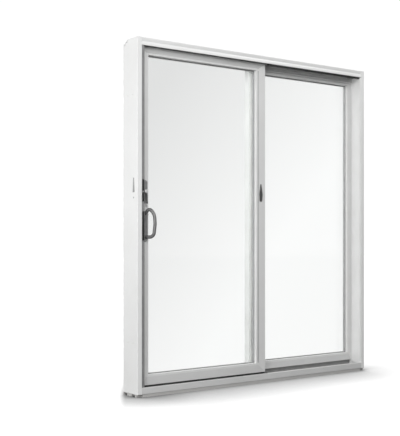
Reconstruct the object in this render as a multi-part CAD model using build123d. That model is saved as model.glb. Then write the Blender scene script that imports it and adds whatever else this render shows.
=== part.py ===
"""Two-panel sliding patio door: a white frame, one fixed panel and one sliding panel.

Millimetres. X is the width, +Y points out of the house, Z is up. The origin is the
centre of the sill's underside. Seen from the room, which is the -Y side, the sliding
panel is on the left and stands on the inner track, and the fixed panel is on the
right and stands on the outer track.
"""

import os
from math import cos, pi, sin

from build123d import *

# Frame, overall
FRAME_WIDTH = 1810.0
FRAME_DEPTH = 152.0
FRAME_HEIGHT = 2019.0
WALL = 3.0

# Frame members, seen from the room
JAMB_FACE = 36.0
JAMB_FLAT = 29.0
JAMB_REBATE = 6.0
JAMB_FOOT = 17.0
HEAD_FACE = 43.5
SILL_FACE = 54.0
FACE_GROOVE = 3.5
EDGE = 2.0

# Stations from the room to the outside
INSIDE = -FRAME_DEPTH / 2
LEG_BACK = -58.0
SLIDER_FACE = -46.0
SLIDER_BACK = -2.0
STOP_FRONT = 3.0
FIXED_FACE = 6.0
FIXED_BACK = 50.0
OUTSIDE = FRAME_DEPTH / 2

# Seals
SEAL_NOSE = 13.0
SEAL_ROUND = 4.5

# Jamb walls, counted in from the frame's side
POCKET_WALL = 29.0
FIXED_WALL = 35.0

# Head and sill levels
HEAD_LIP = FRAME_HEIGHT - HEAD_FACE
SLIDER_CEILING = 2005.0
FIXED_CEILING = 1990.0
HEAD_STOP = 1947.0
CHANNEL_FLOOR = 30.0
BASE_SET_BACK = 3.0
CORNER_SET_BACK = 14.0
STOP_RIB = 8.0
RISER_FRONT = 26.0
RISER_BACK = 46.0
TRACK_TOP = 46.0
TRACK_Y = -24.0
SCREEN_TRACK_Y = 63.0
FOOT_CHANNELS = ((-48.0, -12.0), (34.0, 71.0))
CORNER_DEPTH = 42.0
CORNER_DROP = 24.0
CORNER_SLOT = 6.0

# Panels: outer edges, then the edges of the clear glass
SLIDER = {"left": -870.0, "right": 54.0, "bottom": 60.0, "top": 1976.0}
SLIDER_SIGHT = {"left": -811.0, "right": -20.0, "bottom": 121.0, "top": 1928.0}
FIXED = {"left": -36.0, "right": 870.0, "bottom": 67.0, "top": FIXED_CEILING}
FIXED_SIGHT = {"left": 37.0, "right": 828.0, "bottom": 119.0, "top": 1924.0}
PANEL_DEPTH = SLIDER_BACK - SLIDER_FACE
GLASS_SET_BACK = 21.0
GLASS_UNIT = 19.0
PANE = 3.0
GLASS_BITE = 12.0
REBATE = 14.0
OUTER_LEG_SET_BACK = 8.0
BEAD_SET_BACK = 1.0
BEAD_DRAFT = 3.0
INTERLOCK_EDGE = 2.0
WELD_GROOVE = 0.6
TONGUE_TOP = 1992.0
SLIDE_TRAVEL = 750.0
RUNNING_GAP = 5.0

# Rollers under the slider
ROLLER_RADIUS = 16.0
ROLLER_X = (-760.0, -720.0, -100.0, -60.0)
AXLE_RADIUS = 3.0
AXLE_CLEARANCE = 0.08

# Hardware on the lock stile
HANDLE_X = -840.0
HANDLE_LOW = 872.0
HANDLE_HIGH = 1042.0
GRIP_REACH = 56.0
GRIP_LEAN = 32.0
BOSS_RADIUS = 13.0
BOSS_HEIGHT = 6.0
BOSS_LOW = 898.0
BOSS_HIGH = 1028.0
LATCH_LOW = 1090.0
LATCH_HIGH = 1221.0
LATCH_PIVOT_Z = 1156.0
LEVER_LENGTH = 70.0
HUB_RADIUS = 10.5
CYLINDER_Z = 1108.0
SPINDLE_RADIUS = 5.0
SPINDLE_CLEARANCE = 0.08

# Oval lock on the meeting stile, and the keeper slot in the left jamb
OVAL_X = 17.0
OVAL_LOW = 1118.0
OVAL_HIGH = 1227.0
OVAL_MIDDLE = 1168.0
KEEPER_SLOT_LOW = 1150.0
KEEPER_SLOT_HIGH = 1232.0
KEEPER_HOLE_Z = 1120.5
KEEPER_Y = -33.0

# Screw holes through the jambs
SCREW_RADIUS = 3.2
SCREW_Y = (-27.0, 28.0)
SCREW_Z = (300.0, 1700.0)


def block(x, y, z):
    """A box from three (low, high) pairs."""
    size = [high - low for low, high in (x, y, z)]
    centre = [(high + low) / 2 for low, high in (x, y, z)]
    return Pos(*centre) * Box(*size)


def section(outline, soft=(), radius=EDGE):
    """A closed outline as a face, with the corners in soft rounded."""
    face = make_face(Polyline(*outline, close=True))
    corners = [v for v in face.vertices() if any(abs(v.X - x) + abs(v.Y - y) < 0.01 for x, y in soft)]
    return fillet(corners, radius) if corners else face


def upright(outline, z, soft=(), radius=EDGE):
    """An XY outline drawn up between two levels."""
    return extrude(Plane.XY.offset(z[0]) * section(outline, soft, radius), z[1] - z[0])


def level(outline, x, soft=(), radius=EDGE):
    """A YZ outline drawn along X."""
    return extrude(Plane.YZ.offset(x[0]) * section(outline, soft, radius), x[1] - x[0])


def facing(outline, y):
    """An XZ outline drawn along Y, from y[0] to y[1]."""
    return extrude(Plane.XZ.offset(-y[0]) * section(outline), y[0] - y[1])


def bar_y(x, z, radius, y):
    """A round bar along Y."""
    return Pos(x, (y[0] + y[1]) / 2, z) * Rot(90, 0, 0) * Cylinder(radius, y[1] - y[0])


def bar_x(y, z, radius, x):
    """A round bar along X."""
    return Pos((x[0] + x[1]) / 2, y, z) * Rot(0, 90, 0) * Cylinder(radius, x[1] - x[0])


# Frame

def jamb_outline():
    """Outline of the left jamb: the room leg, the slider's pocket, the stop and the outer leg."""
    side = -FRAME_WIDTH / 2
    leg = side + JAMB_FACE
    flat = side + JAMB_FLAT
    pocket = side + POCKET_WALL
    fixed_wall = side + FIXED_WALL
    return [
        (side, INSIDE),
        (flat, INSIDE),
        (flat, INSIDE + JAMB_REBATE),
        (leg, INSIDE + JAMB_REBATE),
        (leg, LEG_BACK),
        (pocket, LEG_BACK),
        (pocket, STOP_FRONT),
        (leg, STOP_FRONT),
        (leg, FIXED_FACE),
        (fixed_wall, FIXED_FACE),
        (fixed_wall, FIXED_BACK),
        (leg, FIXED_BACK),
        (leg, OUTSIDE),
        (side, OUTSIDE),
    ]


def jamb_envelope():
    """The left jamb without its chambers and rounding, to cope the head and sill against."""
    return upright(jamb_outline(), (JAMB_FOOT, FRAME_HEIGHT))


def top_corner():
    """What is cut from a jamb's outer top corner: the corner itself, and a slot along the cut."""
    side = -FRAME_WIDTH / 2
    start = (OUTSIDE - CORNER_DEPTH, FRAME_HEIGHT)
    end = (OUTSIDE, FRAME_HEIGHT - CORNER_DROP)
    corner = level([start, end, (OUTSIDE + 1, FRAME_HEIGHT + 1)], (side - 1, side + JAMB_FACE + 1))
    slot = level(
        [
            (start[0] - CORNER_SLOT, start[1] - 2 * CORNER_SLOT),
            (end[0] - CORNER_SLOT, end[1] - 2 * CORNER_SLOT),
            (end[0] - CORNER_SLOT, end[1] - CORNER_SLOT),
            (start[0] - CORNER_SLOT, start[1] - CORNER_SLOT),
        ],
        (side - 1, side + WALL + 1),
    )
    return corner + slot


def jamb():
    """The left jamb with its four chambers, its screw holes and its cut top corner."""
    side = -FRAME_WIDTH / 2
    inner = side + WALL
    through = (0.0, FRAME_HEIGHT + WALL)
    chambers = [
        ((inner, side + JAMB_FLAT - WALL), (INSIDE + WALL, LEG_BACK - WALL)),
        ((inner, side + POCKET_WALL - WALL), (LEG_BACK, STOP_FRONT - WALL)),
        ((inner, side + FIXED_WALL - WALL), (STOP_FRONT, FIXED_BACK - WALL)),
        ((inner, side + JAMB_FACE - WALL), (FIXED_BACK, OUTSIDE - WALL)),
    ]
    soft = [(side, INSIDE), (side + JAMB_FLAT, INSIDE), (side, OUTSIDE), (side + JAMB_FACE, OUTSIDE)]
    solid = upright(jamb_outline(), (JAMB_FOOT, FRAME_HEIGHT), soft)
    for x, y in chambers:
        solid -= block(x, y, through)
    for y in SCREW_Y:
        for z in SCREW_Z:
            solid -= bar_x(y, z, SCREW_RADIUS, (side - WALL, side + JAMB_FACE))
    return solid - top_corner()


def left_jamb():
    """The jamb that the slider locks into: a tapered slot and a round hole on its outer side."""
    side = -FRAME_WIDTH / 2
    slot = Polyline(
        (KEEPER_Y - 11, KEEPER_SLOT_LOW),
        (KEEPER_Y + 11, KEEPER_SLOT_LOW),
        (KEEPER_Y + 6, KEEPER_SLOT_HIGH),
        (KEEPER_Y - 6, KEEPER_SLOT_HIGH),
        close=True,
    )
    cut = extrude(Plane.YZ.offset(side - 1) * make_face(slot), WALL + 2)
    solid = jamb() - cut
    solid -= bar_x(KEEPER_Y, KEEPER_HOLE_Z, 5, (side - 1, side + WALL + 1))
    keeper_recess = block(
        (side + POCKET_WALL - 2, side + POCKET_WALL + 1),
        (TRACK_Y - 13, TRACK_Y + 13),
        (HANDLE_LOW, HANDLE_HIGH),
    )
    bolt_slot = block((side, side + POCKET_WALL + 1), (TRACK_Y - 5, TRACK_Y + 5), (HANDLE_LOW + 60, HANDLE_HIGH - 60))
    bolt_slot -= block((side - 1, side + WALL), (TRACK_Y - 6, TRACK_Y + 6), (HANDLE_LOW, HANDLE_HIGH))
    return solid - keeper_recess - bolt_slot


def keeper():
    """The strike let into the jamb's pocket wall, with one slot for the bolt."""
    face = -FRAME_WIDTH / 2 + POCKET_WALL
    plate = block((face - 2, face), (TRACK_Y - 13, TRACK_Y + 13), (HANDLE_LOW, HANDLE_HIGH))
    slot = block((face - 3, face + 1), (TRACK_Y - 5, TRACK_Y + 5), (HANDLE_LOW + 60, HANDLE_HIGH - 60))
    screws = [bar_x(TRACK_Y, z, 2.5, (face - 3, face + 1)) for z in (HANDLE_LOW + 20, HANDLE_HIGH - 20)]
    return plate - slot - screws[0] - screws[1]


def head_outline():
    """Section of the head: coved room leg, slider channel, stop, fixed channel and outer leg."""
    groove = (HEAD_LIP + FRAME_HEIGHT) / 2
    screen = (SCREEN_TRACK_Y - 4, SCREEN_TRACK_Y + 5)
    outer_lip = HEAD_LIP - 11
    return [
        (INSIDE, FRAME_HEIGHT),
        (INSIDE + 0.3 * FACE_GROOVE, groove + 12),
        (INSIDE + FACE_GROOVE, groove + 1),
        (INSIDE + FACE_GROOVE, groove - 1),
        (INSIDE + 0.5 * FACE_GROOVE, groove - 6),
        (INSIDE, groove - 16),
        (INSIDE, HEAD_LIP),
        (LEG_BACK, HEAD_LIP),
        (LEG_BACK, SLIDER_CEILING),
        (STOP_FRONT, SLIDER_CEILING),
        (STOP_FRONT, HEAD_STOP),
        (FIXED_FACE, HEAD_STOP),
        (FIXED_FACE, FIXED_CEILING),
        (FIXED_BACK, FIXED_CEILING),
        (FIXED_BACK, outer_lip),
        (screen[0], outer_lip),
        (screen[0], HEAD_LIP + 6),
        (screen[1], HEAD_LIP + 6),
        (screen[1], outer_lip),
        (OUTSIDE, outer_lip),
        (OUTSIDE, FRAME_HEIGHT),
    ]


def head():
    """The head, coped to both jambs."""
    reach = FRAME_WIDTH / 2 - WALL
    soft = [(INSIDE, FRAME_HEIGHT), (INSIDE, HEAD_LIP), (OUTSIDE, FRAME_HEIGHT)]
    solid = level(head_outline(), (-reach, reach), soft)
    along = (-reach - 1, reach + 1)
    solid -= block(along, (INSIDE + 2 * WALL, LEG_BACK - WALL), (HEAD_LIP + WALL, FRAME_HEIGHT - WALL))
    solid -= block(along, (LEG_BACK, STOP_FRONT), (SLIDER_CEILING + WALL, FRAME_HEIGHT - WALL))
    solid -= block(along, (FIXED_FACE, FIXED_BACK - WALL), (FIXED_CEILING + WALL, FRAME_HEIGHT - WALL))
    solid -= block(along, (FIXED_BACK, OUTSIDE - WALL), (HEAD_LIP + 6 + WALL, FRAME_HEIGHT - WALL))
    envelope = jamb_envelope()
    return solid - envelope - mirror(envelope, Plane.YZ)


def sill_outline():
    """Section of the sill above its base: room dam, slider channel, rib, and the outer step."""
    rib = (SCREEN_TRACK_Y - 2, SCREEN_TRACK_Y + 1)
    return [
        (INSIDE, SILL_FACE - 2),
        (INSIDE + 2, SILL_FACE),
        (INSIDE + 16, SILL_FACE),
        (INSIDE + 16, CHANNEL_FLOOR),
        (STOP_FRONT, CHANNEL_FLOOR),
        (STOP_FRONT, CHANNEL_FLOOR + STOP_RIB),
        (FIXED_FACE, CHANNEL_FLOOR + STOP_RIB),
        (FIXED_FACE, CHANNEL_FLOOR),
        (FIXED_BACK, CHANNEL_FLOOR),
        (FIXED_BACK, CHANNEL_FLOOR + 8),
        (rib[0], CHANNEL_FLOOR + 5),
        (rib[0], SILL_FACE - 6),
        (rib[1], SILL_FACE - 6),
        (rib[1], CHANNEL_FLOOR + 4),
        (OUTSIDE, CHANNEL_FLOOR),
        (OUTSIDE, JAMB_FOOT),
        (INSIDE + BASE_SET_BACK, JAMB_FOOT),
        (INSIDE, JAMB_FOOT + 1),
    ]


def sill():
    """The sill: a full-width base on three feet, and the tracks coped between the jambs."""
    half = FRAME_WIDTH / 2
    along = (-half - 1, half + 1)
    base = block((-half, half), (INSIDE + BASE_SET_BACK, OUTSIDE), (0, JAMB_FOOT))
    for y in FOOT_CHANNELS:
        base -= block(along, y, (-1, JAMB_FOOT - WALL))
    corner = block((-half - 1, JAMB_FACE - half), (INSIDE, INSIDE + CORNER_SET_BACK), (-1, JAMB_FOOT - WALL))
    base = base - corner - mirror(corner, Plane.YZ)
    upper = level(sill_outline(), (-half + WALL, half - WALL))
    upper -= block(along, (INSIDE + WALL + 2, INSIDE + 16 - WALL), (JAMB_FOOT + WALL, SILL_FACE - WALL))
    upper -= block(along, (INSIDE + 16, -WALL), (JAMB_FOOT + WALL, CHANNEL_FLOOR - WALL))
    upper -= block(along, (WALL, FIXED_BACK), (JAMB_FOOT + WALL, CHANNEL_FLOOR - WALL))
    for x in (-600.0, 0.0, 600.0):
        upper -= block((x - 20, x + 20), (OUTSIDE - 30, OUTSIDE + 1), (JAMB_FOOT + WALL, JAMB_FOOT + 8))
    envelope = jamb_envelope()
    upper -= envelope
    upper -= mirror(envelope, Plane.YZ)
    return base + upper


def sill_track():
    """The metal rail that the rollers run on."""
    reach = FRAME_WIDTH / 2 - POCKET_WALL
    crown = TRACK_TOP - 3
    outline = [
        (TRACK_Y - 9, CHANNEL_FLOOR),
        (TRACK_Y + 9, CHANNEL_FLOOR),
        (TRACK_Y + 9, CHANNEL_FLOOR + 2),
        (TRACK_Y + 2.5, CHANNEL_FLOOR + 3),
        (TRACK_Y + 2.5, crown),
        (TRACK_Y + 1.5, TRACK_TOP),
        (TRACK_Y - 1.5, TRACK_TOP),
        (TRACK_Y - 2.5, crown),
        (TRACK_Y - 2.5, CHANNEL_FLOOR + 3),
        (TRACK_Y - 9, CHANNEL_FLOOR + 2),
    ]
    return level(outline, (-reach, reach))


def right_jamb_cover():
    """The cover that closes the pocket of the right jamb, from the room leg to the stop."""
    pocket = FRAME_WIDTH / 2 - POCKET_WALL
    face = FRAME_WIDTH / 2 - JAMB_FACE
    z = (SILL_FACE, SLIDER_CEILING)
    cover = block((face, pocket), (LEG_BACK, STOP_FRONT), z)
    return cover - block((face + WALL, pocket - WALL), (LEG_BACK + WALL, STOP_FRONT - WALL), (0, FRAME_HEIGHT))


def left_jamb_seal():
    """The dark seal that wraps the inner end of the left jamb's room leg, with a round nose."""
    flat = -FRAME_WIDTH / 2 + JAMB_FLAT
    end = -FRAME_WIDTH / 2 + JAMB_FACE
    rebate = INSIDE + JAMB_REBATE
    nose = end + SEAL_NOSE
    outline = [
        (flat, rebate),
        (flat, rebate - 3),
        (nose, rebate - 3),
        (nose, LEG_BACK),
        (end, LEG_BACK),
        (end, rebate),
    ]
    return upright(outline, (SILL_FACE, HEAD_LIP), [(nose, rebate - 3), (nose, LEG_BACK)], SEAL_ROUND)


def head_seal():
    """The dark seal under the head's room leg, round at its lower edge."""
    reach = FRAME_WIDTH / 2 - JAMB_FACE
    front = INSIDE + 8
    low = HEAD_LIP - 10.5
    outline = [(front, HEAD_LIP), (front, low), (LEG_BACK, low), (LEG_BACK, HEAD_LIP)]
    return level(outline, (-reach + SEAL_NOSE, reach), [(front, low), (LEG_BACK, low)], 4)


def interlock_seal():
    """The pile strip on the fixed meeting stile, in the gap between the panels."""
    return block((-25, -17), (STOP_FRONT, FIXED_FACE), (FIXED["bottom"] + 4, HEAD_STOP - 4))


def fixed_panel_support():
    """The riser in the outer channel that the fixed panel stands on."""
    y = (RISER_FRONT, RISER_BACK)
    riser = block((FIXED["left"], FIXED["right"]), y, (CHANNEL_FLOOR, FIXED["bottom"]))
    core = (y[0] + WALL, y[1] - WALL)
    return riser - block((FIXED["left"] - 1, FIXED["right"] + 1), core, (CHANNEL_FLOOR, FIXED["bottom"] - WALL))


def travel_stop():
    """The buffer in the head's channel that ends the slider's travel."""
    start = SLIDER["right"] + SLIDE_TRAVEL + RUNNING_GAP
    stop = block((start, start + 34), (TRACK_Y - 12, TRACK_Y + 12), (TONGUE_TOP - 24, SLIDER_CEILING))
    return chamfer(stop.edges().filter_by(Axis.Y), 4)


# Panels

def mitred(panel, sight, side, y):
    """One member of a panel as a prism, cut on the lines from outer corner to sight corner."""
    outer = {
        "bl": (panel["left"], panel["bottom"]),
        "br": (panel["right"], panel["bottom"]),
        "tr": (panel["right"], panel["top"]),
        "tl": (panel["left"], panel["top"]),
    }
    inner = {
        "bl": (sight["left"], sight["bottom"]),
        "br": (sight["right"], sight["bottom"]),
        "tr": (sight["right"], sight["top"]),
        "tl": (sight["left"], sight["top"]),
    }
    corners = {"left": ("bl", "tl"), "right": ("br", "tr"), "bottom": ("bl", "br"), "top": ("tl", "tr")}
    first, second = corners[side]
    return facing([outer[first], outer[second], inner[second], inner[first]], y)


def sash_section(width):
    """Section of a hollow sash member, from its outer edge in and from its room face back.

    The glazing rebate is open to the room and leaves a thin outer leg behind the glass.
    """
    rebate = width - REBATE
    leg = GLASS_SET_BACK + GLASS_UNIT
    leg_end = width - OUTER_LEG_SET_BACK
    outline = [
        (0, 0),
        (rebate, 0),
        (rebate, leg),
        (leg_end, leg),
        (leg_end, PANEL_DEPTH),
        (0, PANEL_DEPTH),
    ]
    profile = section(outline, [(0, 0), (0, PANEL_DEPTH)])
    core = Rectangle(rebate - 2 * WALL, PANEL_DEPTH - 2 * WALL)
    return profile - Pos(rebate / 2, PANEL_DEPTH / 2) * core


def weld_lines(panel, sight, face):
    """Fine grooves on the room side along the four mitres of a panel."""
    lines = []
    for side_x in ("left", "right"):
        for side_z in ("bottom", "top"):
            outer = Vector(panel[side_x], 0, panel[side_z])
            inner = Vector(sight[side_x], 0, sight[side_z])
            across = (inner - outer).cross(Vector(0, 1, 0)).normalized() * WELD_GROOVE
            corners = [outer - across, inner - across, inner + across, outer + across]
            lines.append(facing([(c.X, c.Z) for c in corners], (face - 1, face + WELD_GROOVE)))
    return Compound(children=lines)


def panel_member(panel, sight, side, face):
    """A sash member: its section drawn along one side of the panel and mitred at both ends."""
    left, right, bottom, top = (panel[name] for name in ("left", "right", "bottom", "top"))
    width = abs(panel[side] - sight[side])
    start, inward, along, length = {
        "left": ((left, face, bottom), (1, 0, 0), (0, 0, 1), top - bottom),
        "right": ((right, face, top), (-1, 0, 0), (0, 0, -1), top - bottom),
        "bottom": ((right, face, bottom), (0, 0, 1), (-1, 0, 0), right - left),
        "top": ((left, face, top), (0, 0, -1), (1, 0, 0), right - left),
    }[side]
    bar = extrude(Plane(origin=start, x_dir=inward, z_dir=along) * sash_section(width), length)
    return (bar & mitred(panel, sight, side, (face - 1, face + PANEL_DEPTH + 1))) - weld_lines(panel, sight, face)


def glazing_bead(sight, face):
    """The bead that holds the glass from the room side: a flat face and steep sides down to the glass."""
    front = face + BEAD_SET_BACK
    glass = face + GLASS_SET_BACK
    centre = Pos((sight["left"] + sight["right"]) / 2, (sight["bottom"] + sight["top"]) / 2)

    def opening(y, margin):
        size = (sight["right"] - sight["left"] + 2 * margin, sight["top"] - sight["bottom"] + 2 * margin)
        return Plane.XZ.offset(-y) * centre * Rectangle(*size)

    ring = extrude(opening(glass, REBATE), glass - front)
    return ring - loft([opening(glass, 0), opening(front, BEAD_DRAFT)])


def pane(sight, y):
    """One sheet of glass, let into the rebate by the bite on every side."""
    return block(
        (sight["left"] - GLASS_BITE, sight["right"] + GLASS_BITE),
        y,
        (sight["bottom"] - GLASS_BITE, sight["top"] + GLASS_BITE),
    )


def glass_unit(sight, face):
    """Room pane, outer pane and the spacer between them."""
    inner = face + GLASS_SET_BACK
    outer = inner + GLASS_UNIT
    room_pane = pane(sight, (inner, inner + PANE))
    outer_pane = pane(sight, (outer - PANE, outer))
    spacer = pane(sight, (inner + PANE, outer - PANE))
    spacer -= block((sight["left"], sight["right"]), (inner, outer), (sight["bottom"], sight["top"]))
    return room_pane, outer_pane, spacer


def slider_top_rail():
    """The slider's top rail with the tongue that runs in the head's channel."""
    rail = panel_member(SLIDER, SLIDER_SIGHT, "top", SLIDER_FACE)
    x = (SLIDER["left"], SLIDER["right"])
    tongue = block(x, (TRACK_Y - 14, TRACK_Y + 14), (SLIDER["top"], TONGUE_TOP))
    groove = block((-2500, 2500), (TRACK_Y - 10, TRACK_Y + 10), (SLIDER["top"] + 4, TONGUE_TOP + 1))
    return rail + (tongue - groove)


def slider_bottom_rail():
    """The slider's bottom rail, open below for the rollers and the track."""
    rail = panel_member(SLIDER, SLIDER_SIGHT, "bottom", SLIDER_FACE)
    return rail - block((-2500, 2500), (TRACK_Y - 12, TRACK_Y + 12), (0, SLIDER["bottom"] + WALL + 1))


def slider_lock_stile():
    """The slider's lock stile, cut for the lock's face plate and open below over the track."""
    stile = panel_member(SLIDER, SLIDER_SIGHT, "left", SLIDER_FACE)
    edge = SLIDER["left"]
    stile -= block((edge - 1, edge + 2), (TRACK_Y - 11, TRACK_Y + 11), (HANDLE_LOW - 20, HANDLE_HIGH + 20))
    return stile - block((edge - 1, edge + 60), (TRACK_Y - 12, TRACK_Y + 12), (0, SLIDER["bottom"] + 30))


def slider_meeting_stile():
    """The slider's meeting stile: its outer part stands proud of the strip beside the glass."""
    stile = panel_member(SLIDER, SLIDER_SIGHT, "right", SLIDER_FACE)
    x = (SLIDER_SIGHT["right"] - REBATE, INTERLOCK_EDGE)
    y = (SLIDER_FACE - 1, SLIDER_FACE + BEAD_SET_BACK)
    stile -= block(x, y, (SLIDER_SIGHT["bottom"], SLIDER_SIGHT["top"]))
    edge = SLIDER["right"]
    return stile - block((edge - 90, edge + 1), (TRACK_Y - 12, TRACK_Y + 12), (0, SLIDER["bottom"] + 30))


def roller_wheels():
    """Four grooved wheels standing on the track."""
    rim = ROLLER_RADIUS
    floor = ROLLER_RADIUS - 2
    bore = AXLE_RADIUS + AXLE_CLEARANCE
    outline = [(bore, -4), (rim, -4), (floor, -2), (floor, 2), (rim, 4), (bore, 4)]
    axle_z = TRACK_TOP + 0.5 + floor
    wheels = []
    for x in ROLLER_X:
        hub = Plane(origin=(x, TRACK_Y, axle_z), x_dir=(1, 0, 0), z_dir=(0, 0, 1))
        wheels.append(revolve(hub * section(outline), Axis((x, TRACK_Y, axle_z), (0, 1, 0))))
    return Compound(children=wheels)


def roller_housings():
    """Two steel carriers, each with two axles, let up into the bottom rail."""
    axle_z = TRACK_TOP + 0.5 + ROLLER_RADIUS - 2
    ceiling = SLIDER_SIGHT["bottom"] - REBATE - WALL
    z = (axle_z - 7, ceiling)
    carriers = []
    for first, second in (ROLLER_X[:2], ROLLER_X[2:]):
        x = (first - 22, second + 22)
        cheeks = block(x, (TRACK_Y - 8, TRACK_Y - 6), z) + block(x, (TRACK_Y + 6, TRACK_Y + 8), z)
        bridge = block(x, (TRACK_Y - 8, TRACK_Y + 8), (ceiling - 2, ceiling))
        y = (TRACK_Y - 7, TRACK_Y + 7)
        axles = [bar_y(axle_x, axle_z, AXLE_RADIUS, y) for axle_x in (first, second)]
        carriers.append(cheeks + bridge + axles[0] + axles[1])
    return Compound(children=carriers)


# Hardware

def rounded_plate(x, width, low, high, y, edge):
    """A long plate with rounded ends on a face that looks to the room or out."""
    plate = Plane.XZ.offset(-y[1]) * Pos(x, (low + high) / 2) * RectangleRounded(width, high - low, width / 2 - 1)
    solid = extrude(plate, y[1] - y[0])
    rim = solid.edges().group_by(Axis.Y)[0 if edge == "room" else -1]
    return chamfer(rim, 1.2)


def oval_section(long, short, sides):
    """An oval bar's section, with enough flats to feel round."""
    turns = [2 * pi * k / sides for k in range(sides)]
    return make_face(Polyline(*[(long / 2 * cos(a), short / 2 * sin(a)) for a in turns], close=True))


def handle_plate():
    """The base plate of the pull, with a round boss under each end of the grip."""
    y = (SLIDER_FACE - 4, SLIDER_FACE)
    plate = rounded_plate(HANDLE_X, 38, HANDLE_LOW, HANDLE_HIGH, y, "room")
    for z in (BOSS_LOW, BOSS_HIGH):
        plate += bar_y(HANDLE_X, z, BOSS_RADIUS, (y[0] - BOSS_HEIGHT, y[0] + 1))
    return plate


def grip_path():
    """The line of the grip in its own plane: out from the upper boss, over, down and back."""
    out = Vector(GRIP_LEAN, -GRIP_REACH, 0).normalized()
    plane = Plane(origin=(HANDLE_X, SLIDER_FACE - 4, 0), x_dir=out, z_dir=out.cross(Vector(0, 0, 1)))
    line = FilletPolyline(
        (-1, BOSS_HIGH, 0),
        (28, BOSS_HIGH + 48, 0),
        (68.5, BOSS_LOW + 75, 0),
        (52.5, BOSS_LOW, 0),
        (-1, BOSS_LOW, 0),
        radius=[20, 120, 30],
    )
    return plane * line


def handle_grip():
    """The pull: an oval bar bent to an uneven D, leaning from the plate towards the glass."""
    path = grip_path()
    start = Plane(origin=path @ 0, x_dir=(path % 0).cross(Vector(0, 0, 1)), z_dir=path % 0)
    bar = sweep(start * oval_section(15, 17.5, 12), path)
    face = SLIDER_FACE - 4 - BOSS_HEIGHT
    return bar - block((HANDLE_X - 60, HANDLE_X + 60), (face, face + 20), (HANDLE_LOW, HANDLE_HIGH + 60))


def latch_plate():
    """The escutcheon that carries the thumb latch."""
    y = (SLIDER_FACE - 4, SLIDER_FACE)
    plate = rounded_plate(HANDLE_X, 34, LATCH_LOW, LATCH_HIGH, y, "room")
    return plate - bar_y(HANDLE_X, LATCH_PIVOT_Z, SPINDLE_RADIUS + SPINDLE_CLEARANCE, (y[0] - 1, y[1] + 1))


def thumb_latch():
    """The thumb latch: a spindle, a hub, and a lever that hangs down and turns out at its tip."""
    plate = SLIDER_FACE - 4
    hub = bar_y(HANDLE_X, LATCH_PIVOT_Z, HUB_RADIUS, (plate - 12, plate - 1))
    spindle = bar_y(HANDLE_X, LATCH_PIVOT_Z, SPINDLE_RADIUS, (plate - 5, plate + 3))
    tip = LATCH_PIVOT_Z - LEVER_LENGTH
    side = level(
        [
            (plate - 11, LATCH_PIVOT_Z),
            (plate - 4, LATCH_PIVOT_Z),
            (plate - 6, tip + 24),
            (plate - 12, tip),
            (plate - 20, tip + 3),
            (plate - 12, tip + 28),
        ],
        (HANDLE_X - 16, HANDLE_X + 16),
    )
    front = facing(
        [
            (HANDLE_X - HUB_RADIUS, LATCH_PIVOT_Z),
            (HANDLE_X + HUB_RADIUS, LATCH_PIVOT_Z),
            (HANDLE_X + 9, tip),
            (HANDLE_X - 9, tip),
        ],
        (plate - 30, plate),
    )
    lever = side & front
    return hub + spindle + lever


def outer_plate():
    """The escutcheon on the outside of the lock stile."""
    y = (SLIDER_BACK, SLIDER_BACK + 4)
    return rounded_plate(HANDLE_X, 30, HANDLE_LOW, LATCH_HIGH, y, "outside")


def outer_pull():
    """The low pull outside: a bowed bar on two feet."""
    root = SLIDER_BACK + 4
    low = HANDLE_LOW + 18
    high = HANDLE_HIGH - 8
    path = FilletPolyline(
        (HANDLE_X, root - 1, low),
        (HANDLE_X, root + 30, low),
        (HANDLE_X, root + 30, high),
        (HANDLE_X, root - 1, high),
        radius=20,
    )
    start = Plane(origin=path @ 0, x_dir=(1, 0, 0), z_dir=path % 0)
    bar = sweep(start * oval_section(14, 10, 8), path)
    return bar - block((HANDLE_X - 60, HANDLE_X + 60), (root - 10, root), (low - 20, high + 20))


def key_cylinder():
    """The round key cylinder above the outside pull."""
    root = SLIDER_BACK + 4
    rim = bar_y(HANDLE_X, CYLINDER_Z, 11, (root, root + 5))
    key_slot = (CYLINDER_Z - 5, CYLINDER_Z + 5)
    return rim - block((HANDLE_X - 1.2, HANDLE_X + 1.2), (root + 2, root + 6), key_slot)


def lock_face_plate():
    """The lock's face plate, flush in the stile's edge, with its bolt drawn in."""
    edge = SLIDER["left"]
    plate = block((edge, edge + 2), (TRACK_Y - 11, TRACK_Y + 11), (HANDLE_LOW - 20, HANDLE_HIGH + 20))
    return plate - block((edge - 1, edge + 3), (TRACK_Y - 4, TRACK_Y + 4), (HANDLE_LOW + 60, HANDLE_HIGH - 60))


def oval_lock():
    """The long oval lock on the meeting stile: a bevelled plate with a slide on its lower half."""
    plate_face = SLIDER_FACE - 4
    plate = extrude(Plane.XZ.offset(-SLIDER_FACE) * oval_outline(0), 4)
    plate = chamfer(plate.edges().group_by(Axis.Y)[0], 1.5)
    slide = extrude(Plane.XZ.offset(-plate_face) * oval_outline(-4), 4)
    slide -= block((OVAL_X - 30, OVAL_X + 30), (plate_face - 5, plate_face + 1), (OVAL_MIDDLE, OVAL_HIGH))
    return plate + slide


def oval_outline(grow):
    """The lock's outline, a hull round three circles, grown or shrunk by a margin."""
    circles = [
        Pos(OVAL_X, OVAL_HIGH - 4) * Circle(4 + grow / 2),
        Pos(OVAL_X, OVAL_MIDDLE - 4) * Circle(12.5 + grow),
        Pos(OVAL_X, OVAL_LOW + 9) * Circle(9 + grow),
    ]
    return make_hull([edge for circle in circles for edge in circle.edges()])


def write(nodes):
    """Write one STEP file for each named node."""
    os.makedirs("parts", exist_ok=True)
    for name, shape in nodes.items():
        export_step(shape, f"parts/{name}.step")


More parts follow.
